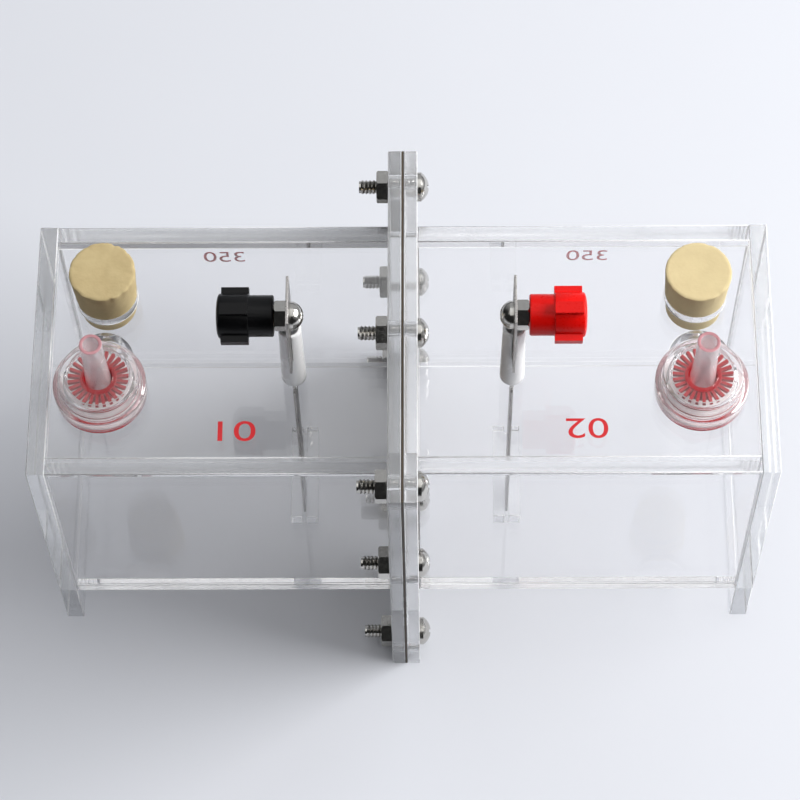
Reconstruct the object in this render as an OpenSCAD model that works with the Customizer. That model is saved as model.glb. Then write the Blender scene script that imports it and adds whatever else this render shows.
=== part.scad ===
// Membrane electrolysis cell for the classroom: two clear chambers bolted together
// over an ion-exchange membrane, each with an electrode, a terminal, a stopper and
// a gas outlet. The membrane lies in the plane X = 0, the table is Z = 0, and the
// anode half is on +X. All lengths are in millimetres.

/* [Tank] */
// Length of the cell over both end walls
cell_l = 200; // [190:1:240]
// Width of the tank over its front and back walls
tank_w = 75; // [72:1:90]
// Height of the tank's top edge above the table
tank_top = 100; // [96:1:130]
// Height of the feet under the tank
foot_h = 20; // [16:1:26]
// Thickness of the clear sheet of walls, floors and lids
sheet_t = 5; // [4.5:0.5:6]

/* [Flange joint] */
// Thickness of each flange plate
flange_t = 3.7; // [3:0.1:5]
// Distance the flanges stand out past the tank's sides and top
flange_margin = 15; // [14:0.5:20]
// Thickness of the ion-exchange membrane
membrane_t = 0.2; // [0.1:0.05:0.4]
// Thickness of the gasket on each side of the membrane
gasket_t = 0.2; // [0.2:0.1:0.8]
// Distance of the outer bolts from the flange's front and rear edges
bolt_inset = 7.5; // [7:0.5:8]
// Distance of the bolt rows from the flange's top and bottom edges
bolt_end_inset = 6.5; // [6:0.5:8]
// Diameter of the bolt holes in the flanges
bolt_hole_d = 4.5; // [4.3:0.1:5]
// Length of a flange bolt under its head
bolt_l = 16; // [15:1:20]

/* [Electrodes] */
// Distance of each electrode from the membrane
electrode_x = 29.25; // [26:0.25:34]
// Front-to-back place of each electrode
electrode_y = -8.3; // [-10:0.1:-6]
// Thickness of the metal strip
strip_t = 0.7; // [0.5:0.1:1.4]
// Width of the strip's lug, above the lid
lug_w = 14; // [12:0.5:16]
// Height of the lug's top above the lid
lug_top_h = 43.2; // [41:0.1:46]
// Height of the lug's lower end above the lid
lug_bottom_h = 15; // [12:0.5:18]
// Width of the strip's neck, inside the sleeve
neck_w = 4; // [3:0.1:4.2]
// Width of the blade, below the lid
blade_w = 7.6; // [6:0.1:9]
// Outer diameter of the insulating sleeve at its top
sleeve_d = 6; // [5.8:0.1:7]
// Outer diameter of the insulating sleeve at its foot
sleeve_foot_d = 6.7; // [6:0.1:7.6]
// Bore of the insulating sleeve
sleeve_bore_d = 4.6; // [4.4:0.1:5]
// Height of the sleeve
sleeve_h = 28; // [26:0.5:29]
// Width of the holder on the tank floor
holder_w = 7.7; // [6:0.1:9]
// Height of the holder on the tank floor
holder_h = 5; // [4:0.5:8]

/* [Terminals] */
// Height of the terminal's axis above the lid
terminal_h = 34.4; // [33:0.1:36]
// Length of a terminal screw under its head
terminal_screw_l = 12; // [11:0.5:13]
// Diameter of the knob's collar
knob_collar_d = 10.8; // [10:0.1:12]
// Length of the knob's collar
knob_collar_l = 6.4; // [5:0.1:8]
// Diameter of the knob's core, between its wings
knob_core_d = 11.6; // [11:0.1:12.4]
// Diameter over the knob's wings
knob_d = 15; // [14:0.1:17]
// Length of the knob's head
knob_head_l = 8.4; // [8:0.1:10]
// Number of wings on a knob
knob_wings = 4; // [3:1:6]

/* [Stoppers] */
// Diameter of a stopper's top
stopper_top_d = 18; // [17:0.1:18.2]
// Diameter of a stopper's bottom
stopper_bottom_d = 15.2; // [14:0.1:15.4]
// Height of a stopper
stopper_h = 22; // [20:0.5:23]
// Diameter of the filler holes in the lids
filler_d = 16.8; // [16.8:0.1:17.2]
// Front-to-back place of the filler holes
filler_y = 17.2; // [16:0.1:19]
// Height of the cathode stopper's top above the lid
cathode_stopper_out = 12; // [11:0.1:14]
// Height of the anode stopper's top above the lid
anode_stopper_out = 10.6; // [10:0.1:14]

/* [Gas outlets] */
// Distance of the cathode's outlet and stopper from the membrane
cathode_outlet_x = 80.9; // [76:0.1:81.5]
// Distance of the anode's outlet and stopper from the membrane
anode_outlet_x = 79.6; // [76:0.1:81.5]
// Front-to-back place of the outlets
outlet_y = -13; // [-15:0.1:-12]
// Diameter of an outlet's cap
cap_d = 25; // [24:0.1:26]
// Diameter of the raised shoulder on the cap
shoulder_d = 21.7; // [20:0.1:22.5]
// Height of the cap over its gasket
cap_h = 8.8; // [6:0.1:10]
// Thickness of the red gasket under the cap
cap_gasket_t = 0.8; // [0.5:0.1:1.5]
// Height of the nozzle's mouth above the lid
nozzle_top_h = 28; // [26:0.5:32]
// Outer diameter of the nozzle's hose end
nozzle_d = 6; // [5:0.1:6.4]
// Bore of the nozzle
nozzle_bore_d = 4.2; // [3.6:0.1:4.4]
// Length of the nozzle's straight hose end
nozzle_straight_l = 8; // [6:0.5:12]
// Outer diameter of the spigot under the cap
spigot_d = 6.2; // [5.6:0.1:6.6]
// Length of the spigot below the lid's top
spigot_l = 18; // [12:0.5:22]
// Number of ribs in the red insert
rib_count = 26; // [20:1:30]
// Width of the vent opening in each lid
vent_w = 16.5; // [15:0.1:17]
// Rear end of the vent opening
vent_rear_y = 4.85; // [3:0.05:6]
// Front end of the vent opening
vent_front_y = -16.5; // [-19:0.1:-16.4]

/* [Hidden] */
$fn = 64;
eps = 0.01;

// M4 hardware of the flange joint and the terminals: the flange has larger nuts, and
// the terminals have smaller and higher screw heads
thread_d = 4;
thread_root_d = 3.3;
ring_pitch = 1;
thread_clear = 0.12;
flange_head_d = 8;
flange_head_h = 3.1;
terminal_head_d = 7.4;
terminal_head_h = 3.6;
pan_rim_h = 1;
recess_l = 4.2;
recess_w = 0.9;
recess_depth = 1.7;
recess_turn = 20;
flange_nut_af = 8;
terminal_nut_af = 7;
nut_t = 3.2;
nut_chamfer = 0.35;

// Main planes of the anode half
joint_half = membrane_t / 2 + gasket_t;
flange_out = joint_half + flange_t;
end_in = cell_l / 2 - sheet_t;
inner_w = tank_w - 2 * sheet_t;
floor_top = foot_h + sheet_t;
lid_bottom = tank_top - sheet_t;
flange_w = tank_w + 2 * flange_margin;
flange_h = tank_top + flange_margin;

// The flange nuts stopped at slightly different angles when they were tightened
nut_turn = 10;
nut_turn_step = 7;

// Flange bolts as [Y, Z]: three along the top, three along the bottom, one each side
bolt_y = flange_w / 2 - bolt_inset;
bolt_places = concat(
    [for (y = [-bolt_y, 0, bolt_y], z = [bolt_end_inset, flange_h - bolt_end_inset]) [y, z]],
    [for (y = [-bolt_y, bolt_y]) [y, flange_h / 2]]
);

// Terminal parts, one after the other along X
strip_in = electrode_x - strip_t / 2;
strip_out = electrode_x + strip_t / 2;
nut_out = strip_out + nut_t;
knob_gap = 0.2;
knob_start = nut_out + knob_gap;
terminal_z = tank_top + terminal_h;
terminal_nut_turn = 10;
insert_l = 8;
insert_d = 5.6;
insert_fit = 0.05;
tip_room = 2;
tip_clear = 0.4;
collar_edge = 0.3;
core_edge = 0.2;
dome_h = 0.9;
dome_w = 3.5;
wing_root = 1;
wing_stop = 1.2;
wing_w = 3;
wing_turn = 12;

// Room round the strip: in the lid's slot, below the lid, in the lug's screw hole and
// in the sleeve's slit
slot_end_room = 0.2;
blade_shoulder = 0.3;
lug_hole_d = thread_d + 0.3;
sleeve_slit_room = 0.1;
lug_seat_room = 0.3;

// Holder on the floor, with a slit for the blade
holder_front_y = -15.5;
holder_back_y = 9;
holder_web = 0.5;
slit_w = strip_t + 0.4;
blade_bottom = floor_top + 0.6;

// Outlet levels
cap_z = tank_top + cap_gasket_t;
cap_gasket_inset = 0.2;
cap_gasket_w = 2.3;
base_t = 1.2;
base_fit = 0.1;
cap_wall = 1.5;
cap_top_t = 1.1;
cap_edge = 0.4;
cap_recess = 0.5;
cap_recess_d = 17.3;
skirt_h = cap_h / 2;
skirt_slope = 0.2;
shoulder_draft = 0.2;
shoulder_edge = 0.5;
rib_ring_d = 10;
rib_out_d = 16.6;
rib_root = 0.15;
rib_t = 0.85;
rib_h = 1.3;
rib_drop = 0.2;
nozzle_root_d = 7.4;
nozzle_fit = 0.1;

// Rounded lower and upper edge of a rubber stopper
stopper_edge = 0.4;

acrylic = [0.86, 0.9, 0.92, 0.35];
sealing_film = [0.25, 0.2, 0.17];
ion_film = [0.5, 0.38, 0.25];
steel = [0.72, 0.72, 0.7];
brass = [0.8, 0.65, 0.3];
knob_black = [0.12, 0.12, 0.13];
knob_red = [0.9, 0.1, 0.08];
outlet_red = [0.85, 0.07, 0.1];
outlet_pink = [0.95, 0.75, 0.77, 0.7];
rubber_tan = [0.8, 0.67, 0.45];

// Draws its child turned so that +Z points along +X
module along_x() { rotate([0, 90, 0]) children(); }

// The cathode half is the anode half in a mirror at the membrane
module cathode_half() { mirror([1, 0, 0]) children(); }

// Straight piece of sheet from one corner to the other
module block(low, high) { translate(low) cube(high - low); }

module floor_plate() {
    color(acrylic)
        block([flange_out, -inner_w / 2, foot_h], [end_in, inner_w / 2, floor_top]);
}

module front_wall() {
    color(acrylic)
        block([flange_out, -tank_w / 2, foot_h], [end_in, -inner_w / 2, tank_top]);
}

module back_wall() {
    color(acrylic)
        block([flange_out, inner_w / 2, foot_h], [end_in, tank_w / 2, tank_top]);
}

module end_wall() {
    color(acrylic)
        block([end_in, -tank_w / 2, foot_h], [cell_l / 2, tank_w / 2, tank_top]);
}

module foot() {
    color(acrylic)
        block([end_in, -tank_w / 2, 0], [cell_l / 2, tank_w / 2, foot_h]);
}

// Straight-sided slot with round ends, through the lid
module vent_opening(x) {
    r = vent_w / 2;
    for (y = [vent_front_y + r, vent_rear_y - r])
        translate([x, y, lid_bottom - eps]) cylinder(r = r, h = sheet_t + 2 * eps);
    block([x - r, vent_front_y + r, lid_bottom - eps],
          [x + r, vent_rear_y - r, tank_top + eps]);
}

// Lid with its filler hole and vent opening at x
module lid(x) {
    color(acrylic) difference() {
        block([flange_out, -inner_w / 2, lid_bottom], [end_in, inner_w / 2, tank_top]);
        translate([x, filler_y, lid_bottom - eps])
            cylinder(d = filler_d, h = sheet_t + 2 * eps);
        vent_opening(x);
        slot_half = neck_w / 2 + slot_end_room;
        block([electrode_x - slit_w / 2, electrode_y - slot_half, lid_bottom - eps],
              [electrode_x + slit_w / 2, electrode_y + slot_half, tank_top + eps]);
    }
}

// Plate with the chamber's window and the bolt holes, from x_in to x_out
module joint_plate(x_in, x_out) {
    difference() {
        block([x_in, -flange_w / 2, 0], [x_out, flange_w / 2, flange_h]);
        block([x_in - eps, -inner_w / 2, floor_top], [x_out + eps, inner_w / 2, lid_bottom]);
        bolt_holes(x_in, x_out);
    }
}

module bolt_holes(x_in, x_out) {
    for (p = bolt_places)
        translate([x_in - eps, p[0], p[1]])
            along_x() cylinder(d = bolt_hole_d, h = x_out - x_in + 2 * eps);
}

module flange() { color(acrylic) joint_plate(joint_half, flange_out); }

module gasket() { color(sealing_film) joint_plate(membrane_t / 2, joint_half); }

module membrane() {
    color(ion_film) difference() {
        block([-membrane_t / 2, -flange_w / 2, 0], [membrane_t / 2, flange_w / 2, flange_h]);
        bolt_holes(-membrane_t / 2, membrane_t / 2);
    }
}

// Threaded shank from z = 0 down to z = -l. Its thread is drawn as rings, a little
// further apart than the pitch of 0.7 mm.
module threaded_shank(l) {
    turns = floor(l / ring_pitch) - 1;
    crest = thread_d / 2;
    root = thread_root_d / 2;
    rotate_extrude() polygon(concat(
        [[0, 0], [crest, 0], [crest, -(l - turns * ring_pitch)]],
        [for (i = [turns - 1 : -1 : 0], k = [0.5, 0])
            [k > 0 ? root : (i == 0 ? root : crest), -(l - (i + k) * ring_pitch)]],
        [[0, -l]]
    ));
}

// Cross-recessed pan-head screw: the head stands on z = 0, the shank points to -Z
module pan_screw(l, head_d, head_h) {
    cap_rise = head_h - pan_rim_h;
    r = head_d / 2;
    dome_r = (r * r + cap_rise * cap_rise) / (2 * cap_rise);
    color(steel) union() {
        difference() {
            intersection() {
                cylinder(r = r, h = head_h);
                translate([0, 0, head_h - dome_r]) sphere(r = dome_r);
            }
            for (a = [0, 90]) rotate([0, 0, a + recess_turn])
                block([-recess_l / 2, -recess_w / 2, head_h - recess_depth],
                      [recess_l / 2, recess_w / 2, head_h + 1]);
        }
        threaded_shank(l);
    }
}

// Hexagon nut on z = 0, its corners turned off on both faces
module hex_nut(across_flats) {
    corner_r = across_flats / 2 / cos(30);
    past_corner = corner_r + 0.05;
    color(steel) difference() {
        intersection() {
            cylinder(r = corner_r, h = nut_t, $fn = 6);
            rotate_extrude() polygon([
                [0, 0], [corner_r - nut_chamfer, 0], [past_corner, nut_chamfer],
                [past_corner, nut_t - nut_chamfer], [corner_r - nut_chamfer, nut_t], [0, nut_t]
            ]);
        }
        translate([0, 0, -eps]) cylinder(d = thread_d + thread_clear, h = nut_t + 2 * eps);
    }
}

module flange_bolts() {
    for (p = bolt_places)
        translate([flange_out, p[0], p[1]])
            along_x() pan_screw(bolt_l, flange_head_d, flange_head_h);
}

module flange_nuts() {
    for (i = [0 : len(bolt_places) - 1])
        translate([-flange_out - nut_t, bolt_places[i][0], bolt_places[i][1]])
            along_x() rotate([0, 0, nut_turn + nut_turn_step * (i % 3 - 1)]) hex_nut(flange_nut_af);
}

// Side view of the strip, as [Y from its centre line, Z]
module strip_outline() {
    translate([-lug_w / 2, tank_top + lug_bottom_h]) square([lug_w, lug_top_h - lug_bottom_h]);
    blade_top = lid_bottom - blade_shoulder;
    translate([-neck_w / 2, blade_top - eps])
        square([neck_w, tank_top + lug_bottom_h - blade_top + 2 * eps]);
    translate([-blade_w / 2, blade_bottom]) square([blade_w, blade_top - blade_bottom]);
}

module strip() {
    color(steel) difference() {
        translate([strip_in, electrode_y, 0])
            rotate([90, 0, 90]) linear_extrude(strip_t) strip_outline();
        translate([strip_in - eps, electrode_y, terminal_z])
            along_x() cylinder(d = lug_hole_d, h = strip_t + 2 * eps);
    }
}

// White tube on the lid, a little wider at its foot, slit from its top to take the lug
module sleeve() {
    color("white") translate([electrode_x, electrode_y, tank_top]) difference() {
        cylinder(d1 = sleeve_foot_d, d2 = sleeve_d, h = sleeve_h);
        translate([0, 0, -eps]) cylinder(d = sleeve_bore_d, h = sleeve_h + 2 * eps);
        block([-strip_t / 2 - sleeve_slit_room, -sleeve_foot_d, lug_bottom_h - lug_seat_room],
              [strip_t / 2 + sleeve_slit_room, sleeve_foot_d, sleeve_h + 1]);
    }
}

// Clear block glued to the floor, slit along its length to take the blade's foot
module holder() {
    color(acrylic) difference() {
        block([electrode_x - holder_w / 2, holder_front_y, floor_top],
              [electrode_x + holder_w / 2, holder_back_y, floor_top + holder_h]);
        block([electrode_x - slit_w / 2, holder_front_y - eps, floor_top + holder_web],
              [electrode_x + slit_w / 2, holder_back_y + eps, floor_top + holder_h + eps]);
    }
}

module at_terminal(x) { translate([x, electrode_y, terminal_z]) children(); }

module terminal_screw() {
    at_terminal(strip_in) rotate([0, -90, 0])
        pan_screw(terminal_screw_l, terminal_head_d, terminal_head_h);
}

module terminal_nut() {
    at_terminal(strip_out) along_x() rotate([0, 0, terminal_nut_turn]) hex_nut(terminal_nut_af);
}

// Brass bush moulded into the knob, threaded for the terminal screw
module knob_insert() {
    color(brass) at_terminal(knob_start) along_x() difference() {
        cylinder(d = insert_d, h = insert_l);
        translate([0, 0, -eps]) cylinder(d = thread_d + thread_clear, h = insert_l + 2 * eps);
    }
}

// Knob with a round collar, a core that domes at its end, and straight wings
module knob(tint) {
    head_top = knob_collar_l + knob_head_l;
    collar_r = knob_collar_d / 2;
    core_r = knob_core_d / 2;
    insert_r = insert_d / 2 + insert_fit;
    tip_r = thread_d / 2 + tip_clear;
    wing_reach = sqrt(knob_d * knob_d - wing_w * wing_w) / 2;
    color(tint) at_terminal(knob_start) along_x() {
        rotate_extrude() polygon(concat(
            [[insert_r, 0], [collar_r - collar_edge, 0], [collar_r, collar_edge],
             [collar_r, knob_collar_l], [core_r - core_edge, knob_collar_l],
             [core_r, knob_collar_l + core_edge]],
            [for (a = [0 : 15 : 90])
                [core_r - dome_w * (1 - cos(a)), head_top - dome_h * (1 - sin(a))]],
            [[0, head_top], [0, insert_l + tip_room], [tip_r, insert_l + tip_room],
             [tip_r, insert_l], [insert_r, insert_l]]
        ));
        for (i = [0 : knob_wings - 1]) rotate([0, 0, wing_turn + i * 360 / knob_wings])
            block([core_r - wing_root, -wing_w / 2, knob_collar_l + eps],
                  [wing_reach, wing_w / 2, head_top - wing_stop]);
    }
}

// Tapered rubber stopper, its top standing out above the lid
module stopper(x, out) {
    r_top = stopper_top_d / 2;
    r_bottom = stopper_bottom_d / 2;
    color(rubber_tan) translate([x, filler_y, tank_top + out - stopper_h])
        rotate_extrude() polygon([
            [0, 0], [r_bottom - stopper_edge, 0], [r_bottom, stopper_edge],
            [r_top, stopper_h - stopper_edge], [r_top - stopper_edge, stopper_h], [0, stopper_h]
        ]);
}

module at_outlet(x, z) { translate([x, outlet_y, z]) children(); }

module outlet_gasket(x) {
    color(outlet_red) at_outlet(x, tank_top) difference() {
        gasket_r = cap_d / 2 - cap_gasket_inset;
        cylinder(r = gasket_r, h = cap_gasket_t);
        translate([0, 0, -eps]) cylinder(r = gasket_r - cap_gasket_w, h = cap_gasket_t + 2 * eps);
    }
}

// Clear cap with a raised shoulder, a sunk face and a hole for the nozzle
module outlet_cap(x) {
    r = cap_d / 2;
    r_shoulder = shoulder_d / 2;
    r_sunk = cap_recess_d / 2;
    r_hole = nozzle_root_d / 2 + nozzle_fit;
    r_top = r_shoulder - shoulder_draft;
    sunk_z = cap_h - cap_recess;
    ceiling_z = sunk_z - cap_top_t;
    step_z = skirt_h - cap_edge - skirt_slope;
    color(acrylic) at_outlet(x, cap_z) rotate_extrude() polygon([
        [r - cap_wall, 0], [r - cap_edge, 0], [r, cap_edge], [r, skirt_h - cap_edge],
        [r - cap_edge, skirt_h], [r_shoulder, skirt_h + skirt_slope],
        [r_top, cap_h - shoulder_edge], [r_top - shoulder_edge, cap_h],
        [r_sunk, cap_h], [r_sunk - cap_edge, sunk_z], [r_hole, sunk_z], [r_hole, ceiling_z],
        [r_shoulder - cap_wall, ceiling_z], [r_shoulder - cap_wall, step_z], [r - cap_wall, step_z]
    ]);
}

// Clear base plate with the spigot that reaches into the chamber
module outlet_base(x) {
    color(acrylic) at_outlet(x, cap_z) difference() {
        union() {
            cylinder(r = cap_d / 2 - cap_wall - base_fit, h = base_t);
            translate([0, 0, -cap_gasket_t - spigot_l])
                cylinder(d = spigot_d, h = cap_gasket_t + spigot_l + eps);
        }
        translate([0, 0, -cap_gasket_t - spigot_l - eps])
            cylinder(d = nozzle_bore_d, h = cap_gasket_t + spigot_l + base_t + 2 * eps);
    }
}

// Red insert: a ring round the nozzle's root, with ribs that stand out from its top
module outlet_ribs(x) {
    ring_in = nozzle_root_d / 2 + nozzle_fit;
    ring_h = cap_h - cap_recess - cap_top_t - base_t;
    rib_top = ring_h - rib_drop;
    color(outlet_red) at_outlet(x, cap_z + base_t) {
        difference() {
            cylinder(d = rib_ring_d, h = ring_h);
            translate([0, 0, -eps]) cylinder(r = ring_in, h = cap_h);
        }
        for (i = [0 : rib_count - 1]) rotate([0, 0, (i + 0.5) * 360 / rib_count])
            block([rib_ring_d / 2 - rib_root, -rib_t / 2, rib_top - rib_h],
                  [rib_out_d / 2, rib_t / 2, rib_top]);
    }
}

// Nozzle: a tapered root and a straight end for a hose
module outlet_nozzle(x) {
    root_h = nozzle_top_h - nozzle_straight_l - cap_gasket_t - base_t;
    straight_start = root_h - eps;
    color(outlet_pink) at_outlet(x, cap_z + base_t) difference() {
        union() {
            cylinder(d1 = nozzle_root_d, d2 = nozzle_d, h = root_h);
            translate([0, 0, straight_start]) cylinder(d = nozzle_d, h = nozzle_straight_l + eps);
        }
        translate([0, 0, -eps]) cylinder(d = nozzle_bore_d, h = root_h + nozzle_straight_l + 2 * eps);
    }
}

cathode_half() floor_plate();  // cathode_floor
cathode_half() front_wall();  // cathode_front_wall
cathode_half() back_wall();  // cathode_back_wall
cathode_half() end_wall();  // cathode_end_wall
cathode_half() foot();  // cathode_foot
cathode_half() lid(cathode_outlet_x);  // cathode_lid
cathode_half() flange();  // cathode_flange
cathode_half() gasket();  // cathode_gasket
floor_plate();  // anode_floor
front_wall();  // anode_front_wall
back_wall();  // anode_back_wall
end_wall();  // anode_end_wall
foot();  // anode_foot
lid(anode_outlet_x);  // anode_lid
flange();  // anode_flange
gasket();  // anode_gasket
membrane();
flange_bolts();
flange_nuts();
cathode_half() strip();  // cathode_strip
cathode_half() sleeve();  // cathode_sleeve
cathode_half() holder();  // cathode_holder
cathode_half() terminal_screw();  // cathode_terminal_screw
cathode_half() terminal_nut();  // cathode_terminal_nut
cathode_half() knob_insert();  // cathode_knob_insert
cathode_half() knob(knob_black);  // cathode_knob
strip();  // anode_strip
sleeve();  // anode_sleeve
holder();  // anode_holder
terminal_screw();  // anode_terminal_screw
terminal_nut();  // anode_terminal_nut
knob_insert();  // anode_knob_insert
knob(knob_red);  // anode_knob
cathode_half() stopper(cathode_outlet_x, cathode_stopper_out);  // cathode_stopper
stopper(anode_outlet_x, anode_stopper_out);  // anode_stopper
cathode_half() outlet_cap(cathode_outlet_x);  // cathode_outlet_cap
cathode_half() outlet_base(cathode_outlet_x);  // cathode_outlet_base
cathode_half() outlet_ribs(cathode_outlet_x);  // cathode_outlet_ribs
cathode_half() outlet_nozzle(cathode_outlet_x);  // cathode_outlet_nozzle
cathode_half() outlet_gasket(cathode_outlet_x);  // cathode_outlet_gasket
outlet_cap(anode_outlet_x);  // anode_outlet_cap
outlet_base(anode_outlet_x);  // anode_outlet_base
outlet_ribs(anode_outlet_x);  // anode_outlet_ribs
outlet_nozzle(anode_outlet_x);  // anode_outlet_nozzle
outlet_gasket(anode_outlet_x);  // anode_outlet_gasket
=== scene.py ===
import math

import bmesh
import bpy
from mathutils import Matrix, Vector, noise


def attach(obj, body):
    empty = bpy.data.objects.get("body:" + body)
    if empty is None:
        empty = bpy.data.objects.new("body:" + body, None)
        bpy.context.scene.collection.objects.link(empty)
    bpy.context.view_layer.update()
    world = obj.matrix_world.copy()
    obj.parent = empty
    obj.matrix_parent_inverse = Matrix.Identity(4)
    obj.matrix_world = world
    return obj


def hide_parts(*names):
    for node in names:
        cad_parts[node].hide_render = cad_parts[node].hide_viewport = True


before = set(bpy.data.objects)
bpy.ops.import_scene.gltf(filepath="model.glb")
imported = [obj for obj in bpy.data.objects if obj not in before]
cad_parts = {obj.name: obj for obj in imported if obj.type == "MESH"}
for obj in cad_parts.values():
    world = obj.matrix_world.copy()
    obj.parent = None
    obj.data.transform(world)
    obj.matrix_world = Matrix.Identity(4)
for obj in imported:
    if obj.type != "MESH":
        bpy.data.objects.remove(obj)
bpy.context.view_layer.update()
scene = bpy.context.scene
scene.view_settings.view_transform = "Standard"
# Light runs to and fro inside a clear sheet before it leaves at an edge, and every turn is a
# bounce. With fewer of them the edges go black.
scene.cycles.max_bounces = scene.cycles.transmission_bounces = scene.cycles.glossy_bounces = 24
scene.cycles.transparent_max_bounces = 48

# Camera: fitted to 35 points of the photograph, 64 degrees down on the cell. The photograph is
# 800 px square, and its focal length is 2934.65 px. The angles are in radians.
ELEVATION, YAW, ROLL = 1.1161, -0.025, -0.0263
FOCAL_PX, FRAME_PX, SENSOR_MM = 2934.65, 800, 36
camera = bpy.data.objects.new("camera", bpy.data.cameras.new("camera"))
scene.collection.objects.link(camera)
camera.data.sensor_width = SENSOR_MM
camera.data.lens = FOCAL_PX / FRAME_PX * SENSOR_MM
camera.data.clip_start, camera.data.clip_end = 0.05, 30
camera.matrix_world = (
    Matrix.Translation((0.0078174, -0.3603062, 0.8049975))
    @ Matrix.Rotation(-YAW, 4, "Z")
    @ Matrix.Rotation(math.pi / 2 - ELEVATION, 4, "X")
    @ Matrix.Rotation(ROLL, 4, "Z")
)
scene.camera = camera

# Floor: pale matt paper at the level of the feet. Past PAPER_NEAR metres it fades into the
# backdrop for the camera and for light straight through clear plastic, into half of it for
# light that the plastic has also mirrored, and into a dim floor for what metal mirrors.


def linear(code):
    """Scene-linear RGBA of an sRGB hex colour."""
    parts = [int(code[i:i + 2], 16) / 255 for i in (0, 2, 4)]
    return [c / 12.92 if c <= 0.04045 else ((c + 0.055) / 1.055) ** 2.4 for c in parts] + [1.0]


def add(tree, kind, settings=(), links=()):
    """A node of this kind. A setting is an input's value where it names an input, else a property."""
    node = tree.nodes.new(kind)
    for name, value in dict(settings).items():
        if isinstance(name, str) and name not in node.inputs:
            setattr(node, name, value)
        else:
            node.inputs[name].default_value = value
    for name, source in dict(links).items():
        tree.links.new(source, node.inputs[name])
    return node


PAPER_NEAR, PAPER_FAR = 0.35, 1.0
BACKDROP = linear("e0e3ea")
floor_mesh = bpy.data.meshes.new("studio_floor")
floor_mesh.from_pydata(
    [(-6, -6, 0), (6, -6, 0), (6, 6, 0), (-6, 6, 0)], [], [(0, 1, 2, 3)])
floor = bpy.data.objects.new("studio_floor", floor_mesh)
scene.collection.objects.link(floor)
paper = bpy.data.materials.new("pale_studio_paper")
paper.use_nodes = True
tree = paper.node_tree
tree.nodes.clear()
place = add(tree, "ShaderNodeTexCoord")
mottle = add(tree, "ShaderNodeTexNoise", {"Scale": 9.0, "Detail": 4.0}, {"Vector": place.outputs["Object"]})
tint = add(tree, "ShaderNodeMix", {"data_type": "RGBA", 6: linear("dadce2"), 7: linear("dee0e6")},
           {0: mottle.outputs["Fac"]})
even = add(tree, "ShaderNodeEmission", {"Color": BACKDROP, "Strength": 1.0})
rays = add(tree, "ShaderNodeLightPath")
away = add(tree, "ShaderNodeVectorMath", {"operation": "LENGTH"}, {0: place.outputs["Object"]})
fade = add(tree, "ShaderNodeMapRange", {"From Min": PAPER_NEAR, "From Max": PAPER_FAR},
           {"Value": away.outputs["Value"]})
mirror = add(tree, "ShaderNodeMath", {"operation": "MINIMUM", 1: 1.0}, {0: rays.outputs["Glossy Depth"]})
half = add(tree, "ShaderNodeMath", {"operation": "MULTIPLY", 1: 0.5}, {0: mirror.outputs[0]})
glassy = add(tree, "ShaderNodeMath", {"operation": "SUBTRACT", "use_clamp": True},
             {0: rays.outputs["Is Transmission Ray"], 1: half.outputs[0]})
seen = add(tree, "ShaderNodeMath", {"operation": "MAXIMUM"},
           {0: rays.outputs["Is Camera Ray"], 1: glassy.outputs[0]})
share = add(tree, "ShaderNodeMath", {"operation": "MULTIPLY"}, {0: seen.outputs[0], 1: fade.outputs[0]})
unseen = add(tree, "ShaderNodeMath", {"operation": "SUBTRACT"}, {0: fade.outputs[0], 1: share.outputs[0]})
ground = add(tree, "ShaderNodeMix", {"data_type": "RGBA", 7: linear("3c3d40")},
             {0: unseen.outputs[0], 6: tint.outputs[2]})
matt = add(tree, "ShaderNodeBsdfPrincipled", {"Roughness": 0.85, "Specular IOR Level": 0.2},
           {"Base Color": ground.outputs[2]})
both = add(tree, "ShaderNodeMixShader", links={0: share.outputs[0], 1: matt.outputs[0], 2: even.outputs[0]})
add(tree, "ShaderNodeOutputMaterial", links={"Surface": both.outputs[0]})
floor_mesh.materials.append(paper)

# Studio light: a softbox low on the right and a little to the rear, a weak one overhead, both
# aimed at the cell, and a room that is bright at the right rear and dark behind the camera.
# Seen directly or straight through the clear plastic the room is a pale backdrop.
for name, power, wide, high, place_at in (
    ("key_softbox", 29.6, 1.2, 0.6, (1.25, 0.15, 0.84)),
    ("top_softbox", 10.3, 2.0, 2.0, (-0.3, 0.1, 1.7)),
):
    lamp = bpy.data.objects.new(name, bpy.data.lights.new(name, "AREA"))
    scene.collection.objects.link(lamp)
    lamp.data.shape, lamp.data.energy, lamp.data.size, lamp.data.size_y = "RECTANGLE", power, wide, high
    lamp.location = place_at
    lamp.rotation_euler = (-Vector(place_at)).to_track_quat("-Z", "Y").to_euler()
world = bpy.data.worlds.new("studio_room")
scene.world = world
world.use_nodes = True
tree = world.node_tree
tree.nodes.clear()
rays = add(tree, "ShaderNodeLightPath")
mirror = add(tree, "ShaderNodeMath", {"operation": "MINIMUM", 1: 1.0}, {0: rays.outputs["Glossy Depth"]})
straight = add(tree, "ShaderNodeMath", {"operation": "SUBTRACT", "use_clamp": True},
               {0: rays.outputs["Is Transmission Ray"], 1: mirror.outputs[0]})
seen = add(tree, "ShaderNodeMath", {"operation": "MAXIMUM"},
           {0: rays.outputs["Is Camera Ray"], 1: straight.outputs[0]})
place = add(tree, "ShaderNodeTexCoord")
lean = add(tree, "ShaderNodeVectorMath", {"operation": "DOT_PRODUCT", 1: (0.5, 0.75, 0.3)},
           {0: place.outputs["Generated"]})
glow = add(tree, "ShaderNodeMapRange", {"From Min": -0.1, "From Max": 0.7, "To Min": 0.03, "To Max": 0.65},
           {"Value": lean.outputs["Value"]})
inside = add(tree, "ShaderNodeMapRange", {"To Min": 1.0, "To Max": 0.55},
             {"Value": rays.outputs["Is Transmission Ray"]})
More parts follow.
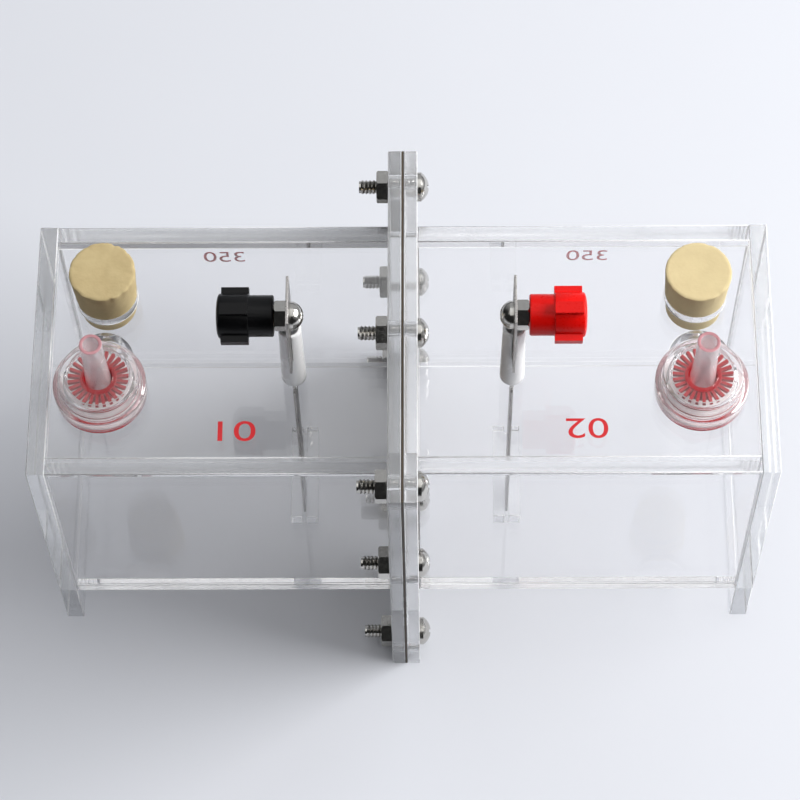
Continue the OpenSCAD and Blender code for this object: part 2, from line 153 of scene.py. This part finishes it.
strength = add(tree, "ShaderNodeMath", {"operation": "MULTIPLY"}, {0: glow.outputs[0], 1: inside.outputs[0]})
room = add(tree, "ShaderNodeBackground", {"Color": linear("e4e6ea")}, {"Strength": strength.outputs[0]})
backdrop = add(tree, "ShaderNodeBackground", {"Color": BACKDROP, "Strength": 1.0})
either = add(tree, "ShaderNodeMixShader",
             links={0: seen.outputs[0], 1: room.outputs[0], 2: backdrop.outputs[0]})
add(tree, "ShaderNodeOutputWorld", links={"Surface": either.outputs[0]})

# Clear cast acrylic sheet: glossy faces, edges that are sawn (finely frosted) or scraped
# (nearly clear), and corners painted milky white, a painted highlight that shows as thin white
# lines. The edges' milky share stands for their fine scratches.
MM = 0.001


def clear_plastic(name, tints, rough, wave, shade, clarity=1.0):
    """Clear plastic that lets lamps through. tints are two near-white colours that clouds of about 17 mm
    mix, rough the roughness where they are thin and thick, wave the height in mm of its ripples, which are
    about 22 mm long, shade a lamp's loss at a face, and clarity the share that isn't milky."""
    made = bpy.data.materials.new(name)
    made.use_nodes = True
    tree = made.node_tree
    tree.nodes.clear()
    place = add(tree, "ShaderNodeTexCoord")
    cloud = add(tree, "ShaderNodeTexNoise", {"Scale": 60.0, "Detail": 5.0},
                {"Vector": place.outputs["Object"]})
    tint = add(tree, "ShaderNodeMix", {"data_type": "RGBA", 6: linear(tints[0]), 7: linear(tints[1])},
               {0: cloud.outputs["Fac"]})
    dull = add(tree, "ShaderNodeMapRange",
               {"From Min": 0.3, "From Max": 0.8, "To Min": rough[0], "To Max": rough[1]},
               {"Value": cloud.outputs["Fac"]})
    ripple = add(tree, "ShaderNodeTexNoise", {"Scale": 45.0, "Detail": 2.0},
                 {"Vector": place.outputs["Object"]})
    bump = add(tree, "ShaderNodeBump", {"Strength": 1.0, "Distance": wave * MM},
               {"Height": ripple.outputs["Fac"]})
    body = add(tree, "ShaderNodeBsdfPrincipled", {"IOR": 1.49, "Transmission Weight": clarity},
               {"Base Color": tint.outputs[2], "Roughness": dull.outputs[0], "Normal": bump.outputs[0]})
    rays = add(tree, "ShaderNodeLightPath")
    through = add(tree, "ShaderNodeMath", {"operation": "MAXIMUM"},
                  {0: rays.outputs["Is Shadow Ray"], 1: rays.outputs["Is Diffuse Ray"]})
    film = add(tree, "ShaderNodeBsdfTransparent", {"Color": linear(shade)})
    both = add(tree, "ShaderNodeMixShader",
               links={0: through.outputs[0], 1: body.outputs[0], 2: film.outputs[0]})
    add(tree, "ShaderNodeOutputMaterial", links={"Surface": both.outputs[0]})
    return made


acrylic_face = clear_plastic("clear_cast_acrylic", ("fcfcfd", "fefefe"), (0.0, 0.012), 0.004, "fdfdfd")
acrylic_edge = clear_plastic("sawn_acrylic_edge", ("f2f3f5", "fafbfc"), (0.08, 0.20), 0.03, "eeeff0", 0.86)
acrylic_end = clear_plastic("scraped_acrylic_edge", ("f4f5f7", "fbfcfd"), (0.04, 0.14), 0.03, "f2f3f4", 0.86)
# Milky white corners: a painted highlight along the bevels.
highlight_corner_acrylic = clear_plastic("painted_highlight_acrylic_corner", ("fafafb", "ffffff"), (0.2, 0.35), 0.03, "eeeff0",
                               0.2)


def round_hole(u, v, r):
    """Outline of a round hole, clockwise."""
    return [(u + r * math.cos(-a * math.tau / 96), v + r * math.sin(-a * math.tau / 96)) for a in range(96)]


def slot_hole(low, high):
    """Outline of a hole with straight sides, clockwise."""
    return [(low[0], low[1]), (low[0], high[1]), (high[0], high[1]), (high[0], low[1])]


def sheet(u0, u1, v0, v1):
    """Outline of a whole sheet, counterclockwise."""
    return [(u0, v0), (u1, v0), (u1, v1), (u0, v1)]


def plate(name, axis, outlines, thick, bevel=0.3, narrow=None, glued=()):
    """A piece of acrylic sheet in mm: its outline and those of its holes, and its two faces along axis.
    Its edges are softened by bevel. Its narrow faces are of the material narrow, save those that face
    along the outline's axes named in glued, which are clear, and its corners are a milky painted highlight."""
    curve = bpy.data.curves.new(name, "CURVE")
    curve.dimensions, curve.fill_mode = "2D", "BOTH"
    curve.bevel_depth, curve.bevel_resolution, curve.offset = bevel, 2, -bevel
    curve.extrude = abs(thick[1] - thick[0]) / 2 - bevel
    for outline in outlines:
        spline = curve.splines.new("POLY")
        spline.points.add(len(outline) - 1)
        for point, (u, v) in zip(spline.points, outline):
            point.co = (u, v, 0, 1)
        spline.use_cyclic_u = True
    drawn = bpy.data.objects.new(name, curve)
    scene.collection.objects.link(drawn)
    bpy.context.view_layer.update()
    mesh = bpy.data.meshes.new_from_object(drawn.evaluated_get(bpy.context.evaluated_depsgraph_get()))
    bpy.data.objects.remove(drawn)
    mesh.materials.append(acrylic_face)
    mesh.materials.append(narrow or acrylic_edge)
    mesh.materials.append(highlight_corner_acrylic)
    work = bmesh.new()
    work.from_mesh(mesh)
    bmesh.ops.remove_doubles(work, verts=work.verts, dist=1e-4)
    bmesh.ops.recalc_face_normals(work, faces=work.faces)
    for face in work.faces:
        clean = abs(face.normal.z) > 0.999 or any(abs(face.normal[i]) > 0.99 for i in glued)
        # Slanted bevel faces take the milky corner finish, a painted highlight.
        face.material_index = 0 if clean else 1 if abs(face.normal.z) < 0.001 else 2
        face.smooth = max(map(abs, face.normal)) < 0.9999
    work.to_mesh(mesh)
    work.free()
    turn = {"X": Matrix(((0, 0, 1), (1, 0, 0), (0, 1, 0))), "Y": Matrix(((0, 1, 0), (0, 0, 1), (1, 0, 0))),
            "Z": Matrix.Identity(3)}[axis].to_4x4()
    middle = turn @ Vector((0, 0, (thick[0] + thick[1]) / 2))
    mesh.transform(Matrix.Scale(MM, 4) @ Matrix.Translation(middle) @ turn)
    made = bpy.data.objects.new(name, mesh)
    scene.collection.objects.link(made)
    return made


def mirrored(made):
    """The piece on the cathode side: its mesh is mirrored at the membrane, and its faces turned back."""
    made.data.transform(Matrix.Diagonal((-1, 1, 1, 1)))
    made.data.flip_normals()
    return made


# Tank of each half: floor, walls, foot and lid of 5 mm acrylic sheet, solvent-glued. The glue
# makes one optical body of them, so each sheet reaches 0.02 mm into the next. Only the lid's
# rear edge is unglued, and its gap of 0.02 mm shows as a line.
GLUE = 0.02
X_IN, X_END, X_OUT = 4.0, 95.0, 100.0
Y_IN, Y_OUT = 32.5, 37.5
Z_UNDER, Z_FLOOR, Z_LID, Z_TOP = 20, 25, 95, 100
OUT_X = {"cathode": 80.9, "anode": 79.6}
OUT_Y, FILL_Y, ELECTRODE_X, ELECTRODE_Y = -13.0, 17.2, 29.25, -8.3
SLIT = 0.55
VENT_R, VENT_Y, FILL_R, NECK = 8.25, (-8.25, -3.4), 8.4, 2.2
tank_x = (X_IN - GLUE, X_END + GLUE)
sheets = {
    "floor": ("Z", [sheet(*tank_x, -Y_IN - GLUE, Y_IN + GLUE)], (Z_UNDER, Z_FLOOR), 0.1, acrylic_end, (0, 1)),
    "front_wall": ("Y", [sheet(Z_UNDER, Z_TOP, *tank_x)], (-Y_OUT, -Y_IN), 0.3, acrylic_edge, (1,)),
    "back_wall": ("Y", [sheet(Z_UNDER, Z_TOP, *tank_x)], (Y_IN, Y_OUT), 0.3, acrylic_edge, (1,)),
    "end_wall": ("X", [sheet(-Y_OUT, Y_OUT, Z_UNDER, Z_TOP)], (X_END, X_OUT), 0.3, acrylic_end, ()),
    "foot": ("X", [sheet(-Y_OUT, Y_OUT, 0, Z_UNDER + GLUE)], (X_END, X_OUT), 0.3, acrylic_end, ()),
}
for side in ("cathode", "anode"):
    # The lid has a filler hole, a vent opening with round ends and a slot for the electrode's neck.
    vent = [(OUT_X[side] + VENT_R * math.cos(-a), y + VENT_R * math.sin(-a))
            for y, half in zip(VENT_Y, (0, 1)) for a in (math.pi * (i / 48 + half) for i in range(49))]
    sheets["lid"] = ("Z", [
        sheet(*tank_x, -Y_IN - GLUE, Y_IN - GLUE), round_hole(OUT_X[side], FILL_Y, FILL_R), vent,
        slot_hole((ELECTRODE_X - SLIT, ELECTRODE_Y - NECK), (ELECTRODE_X + SLIT, ELECTRODE_Y + NECK))],
        (Z_LID, Z_TOP), 0.1, acrylic_end, (0, 1))
    for part, shape in sheets.items():
        made = plate(f"{side}_{part}_sheet", *shape)
        if side == "cathode":
            mirrored(made)
        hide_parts(f"{side}_{part}")
        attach(made, "cell")

# Flanges: 3.7 mm acrylic plates with the chamber's window and eight drilled holes, glued to the
# tanks' open ends and pulled together by the bolts. Their milled edges are nearly clear.
FLANGE_Y, FLANGE_TOP, HOLE_Y, HOLE_Z, HOLE_R = 52.5, 115, 45, (6.5, 57.5, 108.5), 2.25
milled_edge = clear_plastic("milled_acrylic_edge", ("f2f3f5", "fafbfc"), (0.04, 0.14), 0.03, "f2f3f4", 0.82)
for side in ("cathode", "anode"):
    drilled = [round_hole(y, z, HOLE_R) for y, z in
               [(y, z) for y in (-HOLE_Y, 0, HOLE_Y) for z in HOLE_Z[::2]]
               + [(-HOLE_Y, HOLE_Z[1]), (HOLE_Y, HOLE_Z[1])]]
    made = plate(f"{side}_flange_plate", "X", [
        sheet(-FLANGE_Y, FLANGE_Y, 0, FLANGE_TOP), slot_hole((-Y_IN, Z_FLOOR), (Y_IN, Z_LID)), *drilled],
        (0.31, X_IN), 0.2, milled_edge)
    if side == "cathode":
        mirrored(made)
    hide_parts(f"{side}_flange")
    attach(made, "cell")

# Holders: clear acrylic blocks with a sawn slit that takes the foot of the electrode.
# They are glued to the chamber floor, and only faint lines of them show.
HALF_WIDE, SLIT_FLOOR, HOLDER_TOP, HOLDER_Y = 3.85, 25.5, 30, (-15.5, 9)
for side in ("cathode", "anode"):
    low, high = ELECTRODE_X - HALF_WIDE, ELECTRODE_X + HALF_WIDE
    left, right = ELECTRODE_X - SLIT, ELECTRODE_X + SLIT
    made = plate(f"{side}_clear_holder", "Y", [[
        (Z_FLOOR - GLUE, low), (HOLDER_TOP, low), (HOLDER_TOP, left), (SLIT_FLOOR, left),
        (SLIT_FLOOR, right), (HOLDER_TOP, right), (HOLDER_TOP, high), (Z_FLOOR - GLUE, high)][::-1]],
        HOLDER_Y, 0.15)
    if side == "cathode":
        mirrored(made)
    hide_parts(f"{side}_holder")
    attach(made, "cell")

# Membrane and gaskets: a thin amber ion-exchange film between two dark sealing films, all cut
# to the flanges' outline and clamped. The film is matt, with shallow dents about 11 mm across
# and a fine grain, and the sealing films are matt, with a grain of 2.5 mm.


def plain(name, two, rough, scale, bump_mm, settings=(), stretch=(1, 1, 1)):
    """An opaque finish: clouds mix the two colours and the two roughnesses, and raise bumps bump_mm high.
    scale is the number of clouds in a metre, and stretch draws them out, as rolling does."""
    made = bpy.data.materials.new(name)
    made.use_nodes = True
    tree = made.node_tree
    tree.nodes.clear()
    place = add(tree, "ShaderNodeTexCoord")
    drawn = add(tree, "ShaderNodeMapping", {"Scale": stretch}, {"Vector": place.outputs["Object"]})
    cloud = add(tree, "ShaderNodeTexNoise", {"Scale": scale, "Detail": 6.0, "Roughness": 0.6},
                {"Vector": drawn.outputs[0]})
    tint = add(tree, "ShaderNodeMix", {"data_type": "RGBA", 6: linear(two[0]), 7: linear(two[1])},
               {0: cloud.outputs["Fac"]})
    dull = add(tree, "ShaderNodeMapRange",
               {"From Min": 0.3, "From Max": 0.7, "To Min": rough[0], "To Max": rough[1]},
               {"Value": cloud.outputs["Fac"]})
    bump = add(tree, "ShaderNodeBump", {"Strength": 1.0, "Distance": bump_mm * MM},
               {"Height": cloud.outputs["Fac"]})
    body = add(tree, "ShaderNodeBsdfPrincipled", settings,
               {"Base Color": tint.outputs[2], "Roughness": dull.outputs[0], "Normal": bump.outputs[0]})
    add(tree, "ShaderNodeOutputMaterial", links={"Surface": body.outputs[0]})
    return made


def wear(finish, *names):
    """Gives CAD nodes this finish."""
    for name in names:
        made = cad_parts[name]
        made.data.materials.clear()
        made.data.materials.append(finish)


def soften(width, *names):
    """Rounds the sharp edges of CAD nodes by width mm."""
    for name in names:
        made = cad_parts[name]
        weld = made.modifiers.new("weld", "WELD")
        weld.merge_threshold = 1e-6
        edge = made.modifiers.new("edge", "BEVEL")
        edge.width, edge.segments = width * MM, 2
        edge.limit_method, edge.angle_limit = "ANGLE", math.radians(40)
        edge.harden_normals = True


film = plain("ion_exchange_film", ("4c3c28", "5c4932"), (0.45, 0.6), 90.0, 0.02)
seal = plain("dark_sealing_film", ("2b2724", "3a3531"), (0.5, 0.7), 400.0, 0.02)
wear(film, "membrane")
wear(seal, "cathode_gasket", "anode_gasket")

# Screws and nuts of the flanges and terminals: bright stainless M4 machine screws, cold-headed
# with a cross recess, and hexagon nuts. Tumbling leaves them bright, with marks of about 1 mm
# that break up what they mirror.
bright_steel = plain("bright_stainless", ("b4b2ad", "d2d0cb"), (0.10, 0.24), 900.0, 0.004, {"Metallic": 1.0})
wear(bright_steel, "flange_bolts", "flange_nuts", "cathode_terminal_screw", "anode_terminal_screw",
     "cathode_terminal_nut", "anode_terminal_nut")

# Electrode strips: rolled stainless, sheared to shape. The grain runs along the blade, in
# streaks 8 mm long and 0.6 mm wide with a soft gloss. Each strip stands in its holder on the
# floor and ends in the terminal's lug.
rolled_steel = plain("rolled_stainless", ("8d8a88", "bab7b4"), (0.22, 0.38), 120.0, 0.006, {"Metallic": 1.0},
                     (14, 14, 1))
wear(rolled_steel, "cathode_strip", "anode_strip")
soften(0.12, "cathode_strip", "anode_strip")

# Sleeves: extruded white insulating tube, slit to let the lug in and pushed over the strip's
# neck. It is smooth and slightly glossy, and light spreads 1.5 mm in it, so it has no hard
# shade.
white_tube = plain("white_insulating_tube", ("fbfbfa", "ffffff"), (0.2, 0.3), 120.0, 0.0, {
    "Subsurface Weight": 0.4, "Subsurface Radius": (1.0, 1.0, 1.0), "Subsurface Scale": 1.5 * MM,
    "Coat Weight": 0.3})
wear(white_tube, "cathode_sleeve", "anode_sleeve")
soften(0.2, "cathode_sleeve", "anode_sleeve")

# Knobs: plastic moulded over a turned brass insert, black on the cathode and red on the anode.
# The wings are rounded, and the skin is satin with a fine texture of 0.7 mm.
black_plastic = plain("black_moulded_plastic", ("050506", "0b0b0d"), (0.28, 0.42), 1500.0, 0.01,
                      {"Specular IOR Level": 0.2})
red_plastic = plain("red_moulded_plastic", ("da0a06", "e6100b"), (0.24, 0.38), 1500.0, 0.01,
                    {"Specular IOR Level": 0.2})
turned_brass = plain("turned_brass", ("b08a3e", "c9a455"), (0.2, 0.35), 700.0, 0.004, {"Metallic": 1.0})
wear(black_plastic, "cathode_knob")
wear(red_plastic, "anode_knob")
wear(turned_brass, "cathode_knob_insert", "anode_knob_insert")
soften(0.25, "cathode_knob", "anode_knob")

# Gas outlets: a moulded clear cap over a milky base with a spigot, a red ribbed insert, a pink
# translucent nozzle and a pale pink silicone ring on the lid, pressed together. The nozzle's
# cut end is painted a deeper pink, a painted glow of the light carried along its wall.


def fillet(outline, radius):
    """The closed outline with its corners rounded."""
    round_off = []
    for i, corner in enumerate(outline):
        corner = Vector(corner)
        before, after = Vector(outline[i - 1]) - corner, Vector(outline[(i + 1) % len(outline)]) - corner
        a = corner + before.normalized() * min(radius, before.length * 0.45)
        b = corner + after.normalized() * min(radius, after.length * 0.45)
        round_off += [a * (1 - t) ** 2 + corner * 2 * t * (1 - t) + b * t ** 2
                      for t in (0, 0.25, 0.5, 0.75, 1)]
    return round_off


def lathe(name, profile, centre, finish, steps=128):
    """A turned piece in mm: the closed profile of (radius, height) points, round a vertical axis at
    centre."""
    work = bmesh.new()
    rings = [[work.verts.new(((centre[0] + r * math.cos(a)) * MM, (centre[1] + r * math.sin(a)) * MM,
                              (centre[2] + z) * MM)) for r, z in profile]
             for a in (math.tau * i / steps for i in range(steps))]
    for i, ring in enumerate(rings):
        after = rings[(i + 1) % steps]
        for k in range(len(profile)):
            j = (k + 1) % len(profile)
            work.faces.new((ring[k], after[k], after[j], ring[j]))
    bmesh.ops.remove_doubles(work, verts=work.verts, dist=1e-7)
    bmesh.ops.dissolve_degenerate(work, dist=1e-8, edges=work.edges)
    bmesh.ops.recalc_face_normals(work, faces=work.faces)
    for face in work.faces:
        face.smooth = True
    mesh = bpy.data.meshes.new(name)
    work.to_mesh(mesh)
    work.free()
    mesh.set_sharp_from_angle(angle=math.radians(35))
    mesh.materials.append(finish)
    made = bpy.data.objects.new(name, mesh)
    scene.collection.objects.link(made)
    return made


clear_cap = clear_plastic("clear_outlet_moulding", ("fcfbfb", "fefefe"), (0.0, 0.03), 0.01, "f8f6f6", 0.985)
milky_base = clear_plastic("milky_outlet_moulding", ("fafafa", "ffffff"), (0.1, 0.2), 0.01, "f2f0f0", 0.45)
pink_plastic = clear_plastic("pink_nozzle_plastic", ("fff5f6", "fffbfb"), (0.12, 0.24), 0.02, "fcf4f5", 0.8)
painted_glow_end = clear_plastic("pink_cut_end_painted_glow", ("eca0a8", "f0b0b6"), (0.15, 0.25), 0.01, "f0d0d4", 0.6)
red_insert = plain("red_insert_plastic", ("a00414", "b40818"), (0.4, 0.55), 900.0, 0.01,
                   {"Specular IOR Level": 0.15})
# The silicone ring is nearly clear. Its front is painted deep red and less clear, a painted tint of light's
# long path through the ring.
seal_silicone = clear_plastic("pink_seal_silicone", ("fbecee", "fdf2f3"), (0.1, 0.2), 0.01, "f8e4e6", 0.92)
tree = seal_silicone.node_tree
skin = next(node for node in tree.nodes if node.bl_idname == "ShaderNodeBsdfPrincipled")
place = add(tree, "ShaderNodeNewGeometry")
split = add(tree, "ShaderNodeSeparateXYZ", links={0: place.outputs["Position"]})
front = add(tree, "ShaderNodeMapRange", {"From Min": -20.5 * MM, "From Max": -23.5 * MM},
            {"Value": split.outputs["Y"]})
# Painted tint: red and less clear towards the front of the ring.
painted_depth_red = add(tree, "ShaderNodeMix", {"data_type": "RGBA", 7: linear("c01020")},
              {0: front.outputs[0], 6: skin.inputs["Base Color"].links[0].from_socket})
tree.links.new(painted_depth_red.outputs[2], skin.inputs["Base Color"])
painted_depth_clarity = add(tree, "ShaderNodeMapRange", {"To Min": 0.92, "To Max": 0.3}, {"Value": front.outputs[0]})
tree.links.new(painted_depth_clarity.outputs[0], skin.inputs["Transmission Weight"])
wear(seal_silicone, "cathode_outlet_gasket", "anode_outlet_gasket")
CAP_Z, CUT_END_Z = 100.8, 127.85
SEAT_Z = CAP_Z + 1.2
RIBS, RIB_AT, RIB_SIZE = 26, Vector((6.6, 0, 5.15)), (3.4, 0.85, 1.3)
for side, x in (("cathode", -OUT_X["cathode"]), ("anode", OUT_X["anode"])):
    cap = lathe(f"{side}_clear_cap", fillet(
        [(11.0, 0), (12.5, 0), (12.5, 4.4), (10.85, 4.6), (10.65, 8.8), (8.65, 8.8), (8.25, 8.3), (3.8, 8.3),
         (3.8, 7.2), (9.35, 7.2), (9.35, 3.8), (11.0, 3.8)], 0.45), (x, OUT_Y, CAP_Z), clear_cap)
    base = lathe(f"{side}_clear_base", fillet(
        [(2.1, -18.8), (3.1, -18.8), (3.1, 0), (10.9, 0), (10.9, 1.2), (2.1, 1.2)], 0.3),
        (x, OUT_Y, CAP_Z), milky_base)
    nozzle = lathe(f"{side}_pink_nozzle", fillet(
        [(2.1, 0), (3.7, 0), (3.0, 18), (3.0, 26), (2.1, 26)], 0.3), (x, OUT_Y, SEAT_Z), pink_plastic)
    nozzle.data.materials.append(painted_glow_end)
    # The cut end's deeper pink is a painted glow.
    for face in nozzle.data.polygons:
        face.material_index = 1 if face.center.z > CUT_END_Z * MM else 0
    insert = lathe(f"{side}_red_insert", fillet([(3.8, 0), (5.0, 0), (5.0, 6.0), (3.8, 6.0)], 0.2),
                   (x, OUT_Y, SEAT_Z), red_insert)
    work = bmesh.new()
    work.from_mesh(insert.data)
    for i in range(RIBS):
        turn = Matrix.Rotation((i + 0.5) * math.tau / RIBS, 4, "Z")
        rib = bmesh.ops.create_cube(work, size=1)["verts"]
        bmesh.ops.transform(work, verts=rib, matrix=(
            Matrix.Translation(Vector((x, OUT_Y, SEAT_Z)) * MM) @ turn
            @ Matrix.Translation(RIB_AT * MM)
            @ Matrix.Diagonal((*(s * MM for s in RIB_SIZE), 1))))
    work.to_mesh(insert.data)
    work.free()
    for piece, slot, node in ((cap, "clear_outlet", "cap"), (base, "clear_outlet", "base"),
                              (nozzle, "pink_nozzle", "nozzle"), (insert, "red_outlet", "ribs")):
        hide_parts(f"{side}_outlet_{node}")
        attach(piece, f"{side}_outlet_body")

# Stoppers: solid tan laboratory rubber, moulded with a taper and pushed into the filler holes.
# It is chalky with age, in blotches of 4 to 6 mm. The rim of the left one is worn and chipped,
# and both tops are slightly dished.
LENGTH, DISH, WORN_R, WORN_Z = 22, 0.15, 6.5, 18.5
tan_rubber = plain("tan_laboratory_rubber", ("ccb88a", "dfcea0"), (0.75, 0.95), 260.0, 0.12)
# The left stopper's rubber is a darker copy of the right one's: painted shade, with coarser blotches and
# deeper bumps.
shaded_coarse_rubber = plain("shaded_coarse_laboratory_rubber", ("ae976a", "d2c092"), (0.8, 0.98), 170.0, 0.25)
for side, x, out, worn, rubber in (
    ("cathode", -OUT_X["cathode"], 12.0, 0.35, shaded_coarse_rubber), ("anode", OUT_X["anode"], 10.6, 0.15, tan_rubber),
):
    bottom = Z_TOP + out - LENGTH
    wall = [(7.2, 0), (7.6, 0.4)] + [(7.6 + 1.4 * z / LENGTH, z) for z in range(2, 21, 2)] + [
        (8.95, 21.0), (8.98, 21.5), (8.85, 21.85), (8.6, LENGTH)]
    top = [(r, LENGTH - DISH * (1 - r / 8.5)) for r in (8, 7, 6, 5, 4, 3, 2, 1)] + [(0, LENGTH - DISH)]
    profile = [(0, 0), (3, 0)] + wall + top
    made = lathe(f"{side}_rubber_stopper", profile, (x, FILL_Y, bottom), rubber)
    axis = Vector((x, FILL_Y, 0)) * MM
    for vertex in made.data.vertices:
        p = vertex.co - axis
        r = Vector((p.x, p.y)).length / MM
        z = p.z / MM - bottom
        if r > WORN_R and z > WORN_Z:
            rough_edge = noise.noise(Vector((p.x, p.y, 0)) / MM * 0.5 + Vector((7, 3, 0)))
            chip = noise.noise(Vector((p.x, p.y, p.z)) / MM * 1.1)
            share = min(1, (z - WORN_Z) / 3) * min(1, (r - WORN_R) / 2)
            loss = worn * share * (max(0, rough_edge) * 1.4 + max(0, chip - 0.1) * 0.8)
            vertex.co.x -= p.x / max(r * MM, 1e-9) * loss * MM
            vertex.co.y -= p.y / max(r * MM, 1e-9) * loss * MM
            vertex.co.z -= 0.5 * loss * MM
    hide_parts(f"{side}_stopper")
    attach(made, f"{side}_stopper_body")

# Printed numbers: screen-printed red ink 0.01 mm thick, 01 and 02 on the lids and the fill
# volume on each rear wall. They are read from the rear, where the user stands.
red_ink = plain("red_printing_ink", ("c8141c", "d8242a"), (0.35, 0.55), 1200.0, 0.002)
for name, words, at, wide, high, flat in (
    ("cathode_number", "01", (-44.3, -24.8, 100.01), 10.1, 5.9, True),
    ("anode_number", "02", (49.0, -24.3, 100.01), 11.2, 5.9, True),
    ("cathode_volume", "350", (-50.0, 37.51, 86.5), 11.4, 5.7, False),
    ("anode_volume", "350", (51.0, 37.51, 86.5), 11.4, 5.7, False),
):
    curve = bpy.data.curves.new(name, "FONT")
    curve.body, curve.align_x, curve.align_y, curve.extrude = words, "CENTER", "CENTER", 0.005
    drawn = bpy.data.objects.new(name, curve)
    scene.collection.objects.link(drawn)
    bpy.context.view_layer.update()
    mesh = bpy.data.meshes.new_from_object(drawn.evaluated_get(bpy.context.evaluated_depsgraph_get()))
    bpy.data.objects.remove(drawn)
    low = Vector([min(v.co[i] for v in mesh.vertices) for i in range(3)])
    high_corner = Vector([max(v.co[i] for v in mesh.vertices) for i in range(3)])
    middle, span = (low + high_corner) / 2, high_corner - low
    stand = Matrix.Rotation(math.pi, 4, "Z")
    if not flat:
        stand = stand @ Matrix.Rotation(math.pi / 2, 4, "X")
    mesh.transform(Matrix.Translation(Vector(at) * MM) @ stand
                   @ Matrix.Diagonal((wide / span.x * MM, high / span.y * MM, MM, 1))
                   @ Matrix.Translation(-middle))
    mesh.materials.clear()
    mesh.materials.append(red_ink)
    made = bpy.data.objects.new(f"{name}_print", mesh)
    scene.collection.objects.link(made)
    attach(made, "cell")
